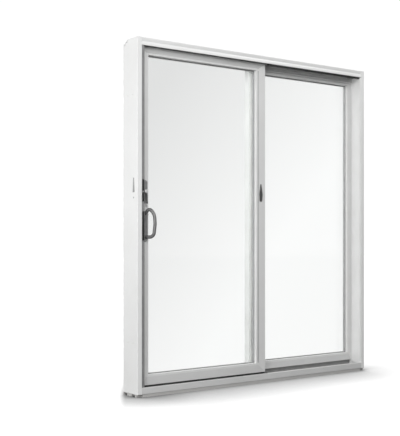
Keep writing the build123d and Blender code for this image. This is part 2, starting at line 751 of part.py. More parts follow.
def frame_nodes():
    """The fixed frame, its track, seals and stops."""
    return {
        "left_jamb": left_jamb(),
        "right_jamb": mirror(jamb(), Plane.YZ),
        "head": head(),
        "sill": sill(),
        "sill_track": sill_track(),
        "right_jamb_cover": right_jamb_cover(),
        "left_jamb_seal": left_jamb_seal(),
        "head_seal": head_seal(),
        "interlock_seal": interlock_seal(),
        "fixed_panel_support": fixed_panel_support(),
        "travel_stop": travel_stop(),
        "keeper": keeper(),
    }


def fixed_panel_nodes():
    """The fixed panel on the outer track."""
    room_pane, outer_pane, spacer = glass_unit(FIXED_SIGHT, FIXED_FACE)
    return {
        "fixed_meeting_stile": panel_member(FIXED, FIXED_SIGHT, "left", FIXED_FACE),
        "fixed_jamb_stile": panel_member(FIXED, FIXED_SIGHT, "right", FIXED_FACE),
        "fixed_top_rail": panel_member(FIXED, FIXED_SIGHT, "top", FIXED_FACE),
        "fixed_bottom_rail": panel_member(FIXED, FIXED_SIGHT, "bottom", FIXED_FACE),
        "fixed_bead": glazing_bead(FIXED_SIGHT, FIXED_FACE),
        "fixed_room_pane": room_pane,
        "fixed_outer_pane": outer_pane,
        "fixed_glass_spacer": spacer,
    }


def slider_nodes():
    """The sliding panel with its rollers and hardware."""
    room_pane, outer_pane, spacer = glass_unit(SLIDER_SIGHT, SLIDER_FACE)
    return {
        "slider_lock_stile": slider_lock_stile(),
        "slider_meeting_stile": slider_meeting_stile(),
        "slider_top_rail": slider_top_rail(),
        "slider_bottom_rail": slider_bottom_rail(),
        "slider_bead": glazing_bead(SLIDER_SIGHT, SLIDER_FACE),
        "slider_room_pane": room_pane,
        "slider_outer_pane": outer_pane,
        "slider_glass_spacer": spacer,
        "roller_housings": roller_housings(),
        "roller_wheels": roller_wheels(),
        "handle_plate": handle_plate(),
        "handle_grip": handle_grip(),
        "latch_plate": latch_plate(),
        "thumb_latch": thumb_latch(),
        "outer_plate": outer_plate(),
        "outer_pull": outer_pull(),
        "key_cylinder": key_cylinder(),
        "lock_face_plate": lock_face_plate(),
        "oval_lock": oval_lock(),
    }


write(frame_nodes() | fixed_panel_nodes() | slider_nodes())
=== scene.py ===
"""Looks of a two-panel sliding patio door: finishes, small fittings, studio light and camera.

Metres. X is the width, +Y points out of the house and Z is up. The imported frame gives
every construction piece its place, and this script dresses those pieces and adds the
small fittings that sit on them.
"""

from __future__ import annotations

import logging
import math
from collections.abc import Iterable
from dataclasses import dataclass, field
from enum import Enum

import bmesh
import bpy
from mathutils import Matrix, Vector


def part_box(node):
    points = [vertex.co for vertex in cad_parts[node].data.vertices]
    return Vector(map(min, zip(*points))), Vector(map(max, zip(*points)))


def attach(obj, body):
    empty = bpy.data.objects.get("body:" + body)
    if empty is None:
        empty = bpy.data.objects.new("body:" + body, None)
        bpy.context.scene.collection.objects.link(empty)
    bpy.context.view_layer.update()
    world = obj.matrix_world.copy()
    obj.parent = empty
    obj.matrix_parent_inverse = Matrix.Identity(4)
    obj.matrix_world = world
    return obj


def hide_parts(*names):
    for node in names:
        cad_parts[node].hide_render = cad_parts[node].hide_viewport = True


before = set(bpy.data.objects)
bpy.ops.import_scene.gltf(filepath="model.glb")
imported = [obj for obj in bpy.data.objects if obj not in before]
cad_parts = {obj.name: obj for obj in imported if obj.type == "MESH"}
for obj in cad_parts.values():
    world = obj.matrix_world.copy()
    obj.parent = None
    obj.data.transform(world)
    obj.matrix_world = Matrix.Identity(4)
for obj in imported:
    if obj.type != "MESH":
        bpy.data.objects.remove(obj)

LOG = logging.getLogger("patio_door")
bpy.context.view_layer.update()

Point = tuple[float, float, float]
Pair = tuple[float, float]
Round = tuple[float, float, int]
Colour = tuple[float, float, float]
Node = bpy.types.Node
Piece = bpy.types.Object
Socket = bpy.types.NodeSocket
Tree = bpy.types.NodeTree

QUARTER = math.pi / 2
# How closely a face or an edge follows a direction to count as along it
ALONG = 0.9
# The scale and detail of each noise
LINE_NOISE = (900.0, 2.0)
PEEL_NOISE = (260.0, 3.0)
MOTTLE_NOISE = (7.0, 4.0)
SPECK_NOISE = (38.0, 6.0)
GRAIN_DETAIL = 2.0
PATCH_DETAIL = 4.0
# The part of a noise that colours and roughness are spread over
MASK_LIMITS = (0.3, 0.7)
# The normal's Z where dust starts to lie and where it lies in full
DUST_LIMITS = (0.5, 1.0)
# How much the vinyl is darkened under a height: painted shade near the floor
FOOT_SHADE_STRENGTH = 0.5


class Run(Enum):
    """The direction that a white extrusion was drawn in."""

    UPRIGHT = (1.0, 1.0, 0.012)
    LEVEL = (0.012, 1.0, 1.0)


class Facing(Enum):
    """The side that a face or a fitting looks to.

    Each has its direction, the turn of an upright cylinder to it, and the angle and axis
    of the turn that takes a fitting there from facing the room.
    """

    ROOM = ((0.0, -1.0, 0.0), (QUARTER, 0.0, 0.0), 0.0, "Z")
    OUTSIDE = ((0.0, 1.0, 0.0), (-QUARTER, 0.0, 0.0), 180.0, "Z")
    LEFT = ((-1.0, 0.0, 0.0), (0.0, -QUARTER, 0.0), -90.0, "Z")
    RIGHT = ((1.0, 0.0, 0.0), (0.0, QUARTER, 0.0), 90.0, "Z")
    UP = ((0.0, 0.0, 1.0), (0.0, 0.0, 0.0), -90.0, "X")
    DOWN = ((0.0, 0.0, -1.0), (math.pi, 0.0, 0.0), 90.0, "X")

    @property
    def direction(self) -> Vector:
        """Give the way it looks."""
        return Vector(self.value[0])

    @property
    def cylinder_turn(self) -> Point:
        """Give the turn of an upright cylinder to this side."""
        return self.value[1]

    def turn_from_room(self) -> Matrix:
        """Give the turn that takes a fitting that faces the room to this side."""
        return Matrix.Rotation(math.radians(self.value[2]), 4, self.value[3])

    def middle(self, node: str) -> Vector:
        """Find the middle of the side of a construction piece's box that looks this way.

        Args:
            node: the construction piece.

        Returns:
            The point.
        """
        low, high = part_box(node)
        return Vector([
            (bottom + top) / 2 if not way else top if way > 0 else bottom
            for bottom, top, way in zip(low, high, self.direction)
        ])


class Slot(Enum):
    """The material slots."""

    VINYL = "white_vinyl"
    GLASS = "clear_glass"
    SEAL = "grey_seal"
    SPACER = "spacer_metal"
    TRACK = "track_metal"
    STEEL = "lock_steel"
    NYLON = "roller_nylon"
    PEWTER = "pewter"


# Shader wiring and groups

@dataclass
class Wiring:
    """A short hand for adding and joining shader nodes in one tree."""

    tree: Tree

    def feed(self, node: Node, feeds: dict[str | int, object]) -> None:
        """Join sockets to a node's inputs, or set their values.

        Args:
            node: the node.
            feeds: a socket or a value for each input, by the input's name or number.
        """
        for label, source in feeds.items():
            if isinstance(source, Socket):
                self.tree.links.new(source, node.inputs[label])
            else:
                node.inputs[label].default_value = source

    def add(self, kind: str, feeds: dict[str | int, object] | None = None, **values: object) -> Node:
        """Add a node, set its attributes and feed its inputs.

        Args:
            kind: the node's type name after ShaderNode.
            feeds: a socket or a value for each input, by the input's name or number.
            **values: attributes to set on the node.

        Returns:
            The new node.
        """
        node = self.tree.nodes.new(f"ShaderNode{kind}")
        for name, value in values.items():
            setattr(node, name, value)
        self.feed(node, feeds or {})
        return node

    def maths(self, operation: str, *terms: Socket | float) -> Socket:
        """Work out one operation of a Math node."""
        return self.add("Math", dict(enumerate(terms)), operation=operation).outputs[0]

    def vectors(self, operation: str, first: Socket, second: Socket | Point) -> Node:
        """Work out one operation of a Vector Math node."""
        return self.add("VectorMath", {0: first, 1: second}, operation=operation)

    def noise(self, place: Socket, scale: Socket | float, detail: float) -> Socket:
        """Read a noise texture at a place."""
        return self.add("TexNoise", {"Vector": place, "Scale": scale, "Detail": detail}).outputs["Fac"]

    def place(self, kind: str = "Object") -> Socket:
        """Read one kind of texture coordinate."""
        return self.add("TexCoord").outputs[kind]

    def spread(self, value: Socket, limits: tuple[float, ...], smooth: bool = False) -> Socket:
        """Map a value from one range to another.

        Args:
            value: the value.
            limits: the range's two ends, then what they become, if not 0 and 1.
            smooth: whether the ends are eased.

        Returns:
            The mapped value.
        """
        feeds = dict(zip(("From Min", "From Max", "To Min", "To Max"), limits))
        kind = "SMOOTHSTEP" if smooth else "LINEAR"
        return self.add("MapRange", {"Value": value, **feeds}, interpolation_type=kind).outputs[0]

    def choose(self, share: Socket, low: Socket | float, high: Socket | float) -> Socket:
        """Mix two numbers: the first where the share is 0 and the second where it is 1."""
        return self.add("Mix", {0: share, 2: low, 3: high}, data_type="FLOAT").outputs[0]

    def tint(self, mask: Socket, low: Colour, high: Colour) -> Socket:
        """Mix two colours by a noise."""
        ramp = self.add("ValToRGB", {"Fac": mask})
        for element, position, colour in zip(ramp.color_ramp.elements, MASK_LIMITS, (low, high)):
            element.position = position
            element.color = (*colour, 1.0)
        return ramp.outputs["Color"]

    def bump(self, height: Socket, depth: float) -> Socket:
        """Turn a height, with its full depth in metres, into a normal."""
        feeds = {"Height": height, "Distance": depth, "Strength": 1.0}
        return self.add("Bump", feeds).outputs["Normal"]


def new_group(name: str, inputs: dict[str, float | Point], outputs: Iterable[str]) -> tuple[Wiring, Node, Node]:
    """Make an empty shader group with named sockets.

    Args:
        name: the group's name.
        inputs: each input's name and default, a number or a vector.
        outputs: the names of its number outputs.

    Returns:
        The group's wiring, its input node and its output node.
    """
    tree = bpy.data.node_groups.new(name, "ShaderNodeTree")
    for label, default in inputs.items():
        kind = "NodeSocketVector" if isinstance(default, tuple) else "NodeSocketFloat"
        socket = tree.interface.new_socket(name=label, in_out="INPUT", socket_type=kind)
        socket.default_value = default
    for label in outputs:
        tree.interface.new_socket(name=label, in_out="OUTPUT", socket_type="NodeSocketFloat")
    return Wiring(tree), tree.nodes.new("NodeGroupInput"), tree.nodes.new("NodeGroupOutput")


def drawn_surface_group() -> Tree:
    """Die lines along an extrusion and the faint orange peel of its skin.

    Returns:
        A group with inputs Stretch, Lines and Peel, and outputs Height and Mottle.
    """
    wire, inside, outside = new_group(
        "drawn_surface", {"Stretch": (1.0, 1.0, 1.0), "Lines": 0.5, "Peel": 0.5}, ("Height", "Mottle")
    )
    place = wire.place()
    stretched = wire.vectors("MULTIPLY", place, inside.outputs["Stretch"]).outputs[0]
    lines = wire.maths("MULTIPLY", wire.noise(stretched, *LINE_NOISE), inside.outputs["Lines"])
    height = wire.maths("MULTIPLY_ADD", wire.noise(place, *PEEL_NOISE), inside.outputs["Peel"], lines)
    wire.feed(outside, {"Height": height, "Mottle": wire.noise(place, *MOTTLE_NOISE)})
    return wire.tree


def dust_and_foot_shade_group() -> Tree:
    """Settled dust on what faces up, broken by a noise, and painted shade on all that is under a height.

    Returns:
        A group with inputs Amount and ShadeBelow, the painted shade's height, and output DustAndShade.
    """
    wire, inside, outside = new_group("dust_and_foot_shade", {"Amount": 0.3, "ShadeBelow": 0.0}, ("DustAndShade",))
    place = wire.place()
    normal = wire.add("SeparateXYZ", {0: wire.add("NewGeometry").outputs["Normal"]})
    facing_up = wire.spread(normal.outputs["Z"], DUST_LIMITS)
    broken = wire.maths("MULTIPLY", wire.noise(place, *SPECK_NOISE), facing_up)
    dust = wire.maths("MULTIPLY", broken, inside.outputs["Amount"])
    height = wire.add("SeparateXYZ", {0: place}).outputs["Z"]
    # Painted shade: everything under the given height is darkened
    below = wire.maths("LESS_THAN", height, inside.outputs["ShadeBelow"])
    wire.feed(outside, {"DustAndShade": wire.maths("MAXIMUM", dust, wire.maths("MULTIPLY", below, FOOT_SHADE_STRENGTH))})
    return wire.tree


def cast_metal_group() -> Tree:
    """The skin of satin plated metal: fine grain, and wear in broad soft patches.

    Returns:
        A group with inputs Grain and Patch, and outputs Height and Wear.
    """
    wire, inside, outside = new_group("cast_metal", {"Grain": 1400.0, "Patch": 60.0}, ("Height", "Wear"))
    place = wire.place()
    wire.feed(outside, {
        "Height": wire.noise(place, inside.outputs["Grain"], GRAIN_DETAIL),
        "Wear": wire.noise(place, inside.outputs["Patch"], PATCH_DETAIL),
    })
    return wire.tree


# Finishes

@dataclass(frozen=True)
class Finish:
    """What every finish shares: a name and the material slot that it belongs to."""

    name: str
    slot: Slot

    def blank(self) -> tuple[bpy.types.Material, Wiring, Node]:
        """Start a material.

        Returns:
            The material, its wiring and its Principled node.
        """
        material = bpy.data.materials.new(self.name)
        material.use_nodes = True
        return material, Wiring(material.node_tree), material.node_tree.nodes["Principled BSDF"]


@dataclass(frozen=True)
class WhiteVinyl(Finish):
    """Extruded white vinyl: satin, with faint die lines along its length."""

    run: Run
    light: Colour = (0.885, 0.89, 0.885)
    shade: Colour = (0.85, 0.853, 0.845)
    dust: float = 0.0
    # Height under which the vinyl is darkened as painted shade near the floor
    foot: float = 0.0
    # Colour mixed in for the dust and for the painted shade near the floor
    dust_and_shade_colour: Colour = (0.42, 0.41, 0.39)
    lines: float = 0.6
    peel: float = 0.4
    rough: Pair = (0.30, 0.38)
    depth: float = 0.00004
    ior: float = 1.52
    gloss: float = 0.45

    def build(self, groups: dict[str, Tree]) -> bpy.types.Material:
        """Build the material from the shader groups."""
        material, wire, shader = self.blank()
        feeds = {"Stretch": self.run.value, "Lines": self.lines, "Peel": self.peel}
        skin = wire.add("Group", feeds, node_tree=groups["drawn_surface"]).outputs
        colour = wire.tint(skin["Mottle"], self.shade, self.light)
        if self.dust:
            feeds = {"Amount": self.dust, "ShadeBelow": self.foot}
            dust_and_shade = wire.add("Group", feeds, node_tree=groups["dust_and_foot_shade"]).outputs["DustAndShade"]
            feeds = {0: dust_and_shade, 6: colour, 7: (*self.dust_and_shade_colour, 1.0)}
            colour = wire.add("Mix", feeds, data_type="RGBA").outputs[2]
        wire.feed(shader, {
            "Base Color": colour,
            "Roughness": wire.spread(skin["Mottle"], (*MASK_LIMITS, *self.rough)),
            "Normal": wire.bump(skin["Height"], self.depth),
            "IOR": self.ior,
            "Specular IOR Level": self.gloss,
        })
        return material


@dataclass(frozen=True)
class ClearGlass(Finish):
    """Clear float glass. Light that only casts a shadow passes straight through it."""

    tint: Colour = (0.975, 0.98, 0.977)
    ior: float = 1.5

    def build(self, groups: dict[str, Tree]) -> bpy.types.Material:
        """Build the material. It needs none of the shader groups."""
        material, wire, shader = self.blank()
        colour = (*self.tint, 1.0)
        wire.feed(shader, {"Base Color": colour, "Roughness": 0.0, "IOR": self.ior, "Transmission Weight": 1.0})
        clear = wire.add("BsdfTransparent", {"Color": colour})
        shadow = wire.add("LightPath").outputs["Is Shadow Ray"]
        pick = wire.add("MixShader", {0: shadow, 1: shader.outputs["BSDF"], 2: clear.outputs["BSDF"]})
        wire.feed(material.node_tree.nodes["Material Output"], {"Surface": pick.outputs[0]})
        return material


@dataclass(frozen=True)
class SatinMetal(Finish):
    """Plated or painted metal with a fine grain and soft wear between two colours."""

    dark: Colour
    light: Colour
    rough: Pair
    metallic: float = 0.0
    grain: float = 1400.0
    patch: float = 60.0
    depth: float = 0.00003

    def build(self, groups: dict[str, Tree]) -> bpy.types.Material:
        """Build the material from the shader groups."""
        material, wire, shader = self.blank()
        feeds = {"Grain": self.grain, "Patch": self.patch}
        skin = wire.add("Group", feeds, node_tree=groups["cast_metal"]).outputs
        wire.feed(shader, {
            "Base Color": wire.tint(skin["Wear"], self.dark, self.light),
            "Roughness": wire.spread(skin["Wear"], (*MASK_LIMITS, *self.rough)),
            "Normal": wire.bump(skin["Height"], self.depth),
            "Metallic": self.metallic,
        })
        return material


@dataclass(frozen=True)
class SoftSeal(SatinMetal):
    """Flexible seal or nylon: matt, with a coarser and deeper grain."""

    rough: Pair = (0.55, 0.7)
    grain: float = 700.0
    patch: float = 25.0
    depth: float = 0.0001


def grey(level: float) -> Colour:
    """Give a neutral colour."""
    return (level, level, level)


FINISHES = (
    WhiteVinyl("vinyl_upright", Slot.VINYL, Run.UPRIGHT),
    WhiteVinyl("vinyl_level", Slot.VINYL, Run.LEVEL, dust=0.5),
    # Painted shade: the sill and the panel's members are darker copies of the same white vinyl, the top rails darkest
    # for the head's shadow over them, and the sill also darker near the floor
    WhiteVinyl("vinyl_sill_shaded", Slot.VINYL, Run.LEVEL, (0.72, 0.723, 0.72), (0.68, 0.683, 0.675), 0.5, 0.0175),
    WhiteVinyl("panel_upright_shaded", Slot.VINYL, Run.UPRIGHT, (0.80, 0.803, 0.80), (0.765, 0.768, 0.76)),
    WhiteVinyl("panel_level_shaded", Slot.VINYL, Run.LEVEL, (0.74, 0.743, 0.74), (0.70, 0.703, 0.697), 0.5),
    WhiteVinyl("panel_top_shaded", Slot.VINYL, Run.LEVEL, (0.64, 0.643, 0.64), (0.60, 0.603, 0.597), 0.5),
    ClearGlass("float_glass", Slot.GLASS),
    # Partly painted shade: the seal's grey also stands for the shade in the gap beside the lock stile
    SoftSeal("seal", Slot.SEAL, grey(0.23), grey(0.28)),
    # Partly painted shade: the head seal's near-black also stands for the shade under the head's lip
    SoftSeal("head_pile_and_shade", Slot.SEAL, grey(0.06), grey(0.09), (0.7, 0.85)),
    # Partly painted shade: the near-black pile darkens the slit under the slider, the head over the fixed panel and
    # the sill's lip
    SoftSeal("pile_and_shade", Slot.SEAL, grey(0.025), grey(0.05), (0.75, 0.9)),
    SoftSeal("gasket", Slot.SEAL, grey(0.14), grey(0.19)),
    # Painted shade: grey for the strips on the head's inner rib and in the meeting stile's step
    SoftSeal("shade_grey", Slot.SEAL, grey(0.50), grey(0.56), (0.4, 0.5)),
    SoftSeal("riser", Slot.SEAL, grey(0.32), grey(0.38)),
    # Painted shade: black for the rim round the handle plate and the pads on the jamb's seal
    SoftSeal("painted_shade_black", Slot.SEAL, grey(0.012), grey(0.022), (0.45, 0.6)),
    # Painted shade: grey for the plugs in the keeper's slot and hole
    SoftSeal("slot_shade_grey", Slot.VINYL, grey(0.36), grey(0.42), (0.4, 0.5)),
    SoftSeal("pale_gasket", Slot.SEAL, (0.70, 0.70, 0.69), (0.76, 0.76, 0.75), (0.4, 0.5)),
    SoftSeal("nylon", Slot.NYLON, (0.62, 0.61, 0.57), (0.68, 0.67, 0.62), (0.35, 0.45)),
    SatinMetal("spacer", Slot.SPACER, (0.42, 0.42, 0.43), (0.50, 0.50, 0.51), (0.4, 0.5), 0.4),
    SatinMetal("track", Slot.TRACK, (0.62, 0.63, 0.64), (0.70, 0.71, 0.72), (0.3, 0.42), 0.95),
    SatinMetal("zinc", Slot.STEEL, (0.42, 0.42, 0.43), (0.52, 0.52, 0.53), (0.28, 0.4), 0.95),
    SatinMetal("pewter", Slot.PEWTER, grey(0.15), grey(0.20), (0.42, 0.52), 0.7),
    SatinMetal("dark_pewter", Slot.PEWTER, grey(0.13), grey(0.19), (0.3, 0.42), 1.0),
    SatinMetal("plate_pewter", Slot.PEWTER, grey(0.38), grey(0.48), (0.36, 0.46), 0.9),
    # Painted highlight: a pale pewter for the latch hub
    SatinMetal("pewter_painted_highlight", Slot.PEWTER, grey(0.72), grey(0.80), (0.3, 0.4), 0.4),
)

# The finish of each construction piece
DRESS = {
    "vinyl_upright": ("left_jamb", "right_jamb", "right_jamb_cover"),
    "vinyl_level": ("head",),
    "vinyl_sill_shaded": ("sill",),
    "panel_upright_shaded": (
        "fixed_meeting_stile", "fixed_jamb_stile", "slider_lock_stile", "slider_meeting_stile",
        "fixed_bead", "slider_bead",
    ),
    "panel_level_shaded": ("fixed_bottom_rail", "slider_bottom_rail"),
    "panel_top_shaded": ("slider_top_rail", "fixed_top_rail"),
    "float_glass": ("fixed_room_pane", "fixed_outer_pane", "slider_room_pane", "slider_outer_pane"),
    "seal": ("left_jamb_seal", "travel_stop"),
    "head_pile_and_shade": ("head_seal",),
    "pale_gasket": ("interlock_seal",),
    "riser": ("fixed_panel_support",),
    "spacer": ("fixed_glass_spacer", "slider_glass_spacer"),
    "track": ("sill_track",),
    "zinc": ("keeper", "roller_housings", "key_cylinder", "lock_face_plate"),
    "nylon": ("roller_wheels",),
    "pewter": ("handle_grip", "thumb_latch", "outer_pull"),
    "plate_pewter": ("handle_plate", "latch_plate"),
    "dark_pewter": ("outer_plate", "oval_lock"),
}


@dataclass
class Palette:
    """Every finish of the door, built once, with its slot."""

    made: dict[str, bpy.types.Material] = field(default_factory=dict)
    slots: dict[str, Slot] = field(default_factory=dict)

    def build(self) -> None:
        """Build the shader groups, then the materials."""
        groups = {
            "drawn_surface": drawn_surface_group(),
            "dust_and_foot_shade": dust_and_foot_shade_group(),
            "cast_metal": cast_metal_group(),
        }
        for finish in FINISHES:
            self.made[finish.name] = finish.build(groups)
            self.slots[finish.name] = finish.slot
            LOG.info("finish %s", finish.name)

    def dress(self) -> None:
        """Give every construction piece its finish."""
        for name, nodes in DRESS.items():
            for node in nodes:
                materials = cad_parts[node].data.materials
                materials.clear()
                materials.append(self.made[name])


# Modelling

@dataclass
class Bench:
    """The bench where fittings are modelled, dressed and put on their bodies."""

    palette: Palette
    bevel_from: float = math.radians(40.0)
    smooth_below: float = math.radians(35.0)

    def clear(self) -> None:
        """Leave edit mode and deselect everything."""
        active = bpy.context.view_layer.objects.active
        if active is not None and active.mode != "OBJECT":
            bpy.ops.object.mode_set(mode="OBJECT")
        bpy.ops.object.select_all(action="DESELECT")

    def hold(self, piece: Piece) -> None:
        """Select one piece and nothing else."""
        self.clear()
        piece.select_set(True)
        bpy.context.view_layer.objects.active = piece

    def settle(self, name: str) -> Piece:
        """Name the new primitive and move its place, turn and size into its mesh.

        Args:
            name: the piece's name.

        Returns:
            The piece.
        """
        piece = bpy.context.object
        piece.name = name
        piece.data.name = name
        self.hold(piece)
        bpy.ops.object.transform_apply(location=True, rotation=True, scale=True)
        return piece

    def cuboid(self, name: str, low: Point, high: Point) -> Piece:
        """Start a piece from a cuboid between two corners.

        Args:
            name: the piece's name.
            low: its lowest corner.
            high: its highest corner.

        Returns:
            The piece.
        """
        self.clear()
        size = [top - bottom for bottom, top in zip(low, high)]
        centre = [(top + bottom) / 2 for bottom, top in zip(low, high)]
        bpy.ops.mesh.primitive_cube_add(size=1.0, location=centre, scale=size)
        return self.settle(name)

    def disc(self, name: str, centre: Point, facing: Facing, size: Round) -> Piece:
        """Start a piece from a round disc.

        Args:
            name: the piece's name.
            centre: its middle.
            facing: the side that its face looks to.
            size: its radius, its thickness and how many flats go round it.

        Returns:
            The piece.
        """
        self.clear()
        radius, depth, flats = size
        bpy.ops.mesh.primitive_cylinder_add(
            vertices=flats, radius=radius, depth=depth, location=centre, rotation=facing.cylinder_turn
        )
        return self.settle(name)

    def pick(self, piece: Piece, *sides: Facing, edges: bool = False) -> None:
        """Enter edit mode and select faces by where they look, or edges by where they run.

        Args:
            piece: the piece.
            *sides: the directions to match. Everything is selected if there is none.
            edges: whether edges are selected and not faces.
        """
        self.hold(piece)
        bpy.ops.object.mode_set(mode="EDIT")
        bpy.ops.mesh.select_mode(type="EDGE" if edges else "FACE")
        bpy.ops.mesh.select_all(action="DESELECT")
        shape = bmesh.from_edit_mesh(piece.data)
        for part in shape.edges if edges else shape.faces:
            way = (part.verts[1].co - part.verts[0].co).normalized() if edges else part.normal
            part.select_set(not sides or any(way.dot(side.direction) > ALONG for side in sides))
        bmesh.update_edit_mesh(piece.data)

    def draw_out(self, shift: Point) -> None:
        """Extrude what is selected."""
        bpy.ops.mesh.extrude_region_move(TRANSFORM_OT_translate={"value": shift})

    def sink(self, piece: Piece, side: Facing, rim: float, shift: Point) -> None:
        """Leave a rim round one side of a piece and move what is inside it.

        Args:
            piece: the piece, which stays in edit mode.
            side: the side.
            rim: the rim's width.
            shift: how far the inside moves.
        """
        self.pick(piece, side)
        bpy.ops.mesh.inset(thickness=rim)
        self.draw_out(shift)

    def turn_outward(self) -> None:
        """Point every normal of the edited mesh outward, and leave edit mode."""
        bpy.ops.mesh.select_all(action="SELECT")
        bpy.ops.mesh.normals_make_consistent(inside=False)
        self.clear()

    def apply(self, piece: Piece, modifier: bpy.types.Modifier) -> None:
        """Apply a modifier to its piece."""
        self.hold(piece)
        bpy.ops.object.modifier_apply(modifier=modifier.name)

    def soften(self, piece: Piece, width: float, segments: int = 2) -> None:
        """Round a piece's sharp edges.

        Args:
            piece: the piece.
            width: the bevel's width.
            segments: how many steps it has.
        """
        bevel = piece.modifiers.new("soften", "BEVEL")
        bevel.width = width
        bevel.segments = segments
        bevel.limit_method = "ANGLE"
        bevel.angle_limit = self.bevel_from
        self.apply(piece, bevel)

    def cut(self, piece: Piece, tool: Piece) -> None:
        """Cut one mesh with another, which is used up.

        Args:
            piece: the piece that is cut.
            tool: the shape that is taken away.
        """
        knife = piece.modifiers.new("cut", "BOOLEAN")
        knife.operation = "DIFFERENCE"
        knife.solver = "EXACT"
        knife.object = tool
        self.apply(piece, knife)
        bpy.data.objects.remove(tool)

    def repeat(self, piece: Piece, name: str, place: Matrix) -> Piece:
        """Copy a piece, with its own mesh, to another place.

        Args:
            piece: the piece to copy.
            name: the copy's name.
            place: the move and turn of the copy's mesh.

        Returns:
            The copy.
        """
        copy = piece.copy()
        copy.data = piece.data.copy()
        copy.data.transform(place)
        copy.name = name
        bpy.context.scene.collection.objects.link(copy)
        return copy

    def complete(self, piece: Piece, finish: str, body: str, replaces: tuple[str, ...] = ()) -> None:
        """Smooth a piece, dress it and put it on its body.

        Args:
            piece: the piece.
            finish: the finish's name.
            body: the body that it moves with.
            replaces: the construction pieces that it stands for.
        """
        self.hold(piece)
        bpy.ops.object.shade_smooth_by_angle(angle=self.smooth_below)
        piece.data.materials.clear()
        piece.data.materials.append(self.palette.made[finish])
        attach(piece, body)
        if replaces:
            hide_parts(*replaces)
        LOG.info("piece %s on %s", piece.name, body)

    def spread_out(self, pattern: Piece, finish: str, body: str, places: dict[str, Point]) -> None:
        """Complete a copy of a pattern at each place, and use the pattern up.

        Args:
            pattern: the pattern.
            finish: the copies' finish.
            body: the body that they move with.
            places: each copy's name and how far it is moved.
        """
        for name, place in places.items():
            self.complete(self.repeat(pattern, name, Matrix.Translation(place)), finish, body)
        bpy.data.objects.remove(pattern)


# Fittings

@dataclass
class Screws:
    """Cross-headed screws in the plates, the keeper and the stop.

    Each pair has a name, its plate, the side that it is driven from, its body, and how far
    the two screws sit from the plate's lower and upper end.
    """

    bench: Bench
    head: Round = (0.0036, 0.0016, 20)
    dome: float = 0.001
    recess: float = 0.0011
    past_front: float = 0.001
    arm: Pair = (0.0044, 0.0009)
    pairs: tuple[tuple[str, str, Facing, str, float, float], ...] = (
        ("handle", "handle_plate", Facing.ROOM, "slider", 0.054, 0.042),
        ("latch", "latch_plate", Facing.ROOM, "slider", 0.009, 0.014),
        ("outer", "outer_plate", Facing.OUTSIDE, "slider", 0.08, 0.02),
        ("keeper", "keeper", Facing.RIGHT, "frame", 0.02, 0.02),
        ("face_plate", "lock_face_plate", Facing.LEFT, "slider", 0.009, 0.009),
    )

    def model(self) -> Piece:
        """Model one domed head at the origin, facing the room.

        Returns:
            The head, with its foot at y = 0.
        """
        height = self.head[1]
        head = self.bench.disc("screw_pattern", (0.0, -height / 2, 0.0), Facing.ROOM, self.head)
        self.bench.pick(head, Facing.ROOM)
        bpy.ops.mesh.bevel(offset=self.dome, segments=3, affect="EDGES")
        self.bench.clear()
        for wide, tall in (self.arm, self.arm[::-1]):
            low = (-wide / 2, -height - self.past_front, -tall / 2)
            high = (wide / 2, -height + self.recess, tall / 2)
            self.bench.cut(head, self.bench.cuboid("recess", low, high))
        return head

    def drive(self, pattern: Piece, name: str, place: Vector, facing: Facing, body: str) -> None:
        """Put a copy of the head with the middle of its foot at a place."""
        screw = self.bench.repeat(pattern, name, Matrix.Translation(place) @ facing.turn_from_room())
        self.bench.complete(screw, "zinc", body)

    def build(self) -> None:
        """Copy the head to every place that has one."""
        pattern = self.model()
        hardware_x = Facing.ROOM.middle("handle_plate").x
        for name, plate, facing, body, foot, head in self.pairs:
            low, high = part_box(plate)
            place = facing.middle(plate)
            if facing in (Facing.ROOM, Facing.OUTSIDE):
                place.x = hardware_x
            for end, z in (("low", low.z + foot), ("high", high.z - head)):
                place.z = z
                self.drive(pattern, f"{name}_screw_{end}", place, facing, body)
        self.drive(pattern, "stop_screw", Facing.DOWN.middle("travel_stop"), Facing.DOWN, "frame")
        bpy.data.objects.remove(pattern)


@dataclass
class Gaskets:
    """Soft lines where the glass meets the beads, on both sides of each glass unit."""

    bench: Bench
    inset: float = 0.0105
    width: float = 0.0037
    height: float = 0.0022

    def build(self) -> None:
        """Put a gasket on the room side and the outer side of both glass units."""
        for panel, body in (("slider", "slider"), ("fixed", "frame")):
            low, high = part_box(f"{panel}_room_pane")
            outer_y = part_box(f"{panel}_outer_pane")[1].y
            sides = (
                ("room", low.y - self.height, low.y, "gasket"),
                ("outer", outer_y, outer_y + self.height, "pale_gasket"),
            )
            for side, near, far, finish in sides:
                ring = self.bench.cuboid(
                    f"{panel}_{side}_gasket",
                    (low.x + self.inset, near, low.z + self.inset),
                    (high.x - self.inset, far, high.z - self.inset),
                )
                self.bench.pick(ring, Facing.ROOM, Facing.OUTSIDE)
                bpy.ops.mesh.inset(thickness=self.width, use_individual=True)
                bpy.ops.mesh.bridge_edge_loops()
                self.bench.turn_outward()
                self.bench.complete(ring, finish, body)


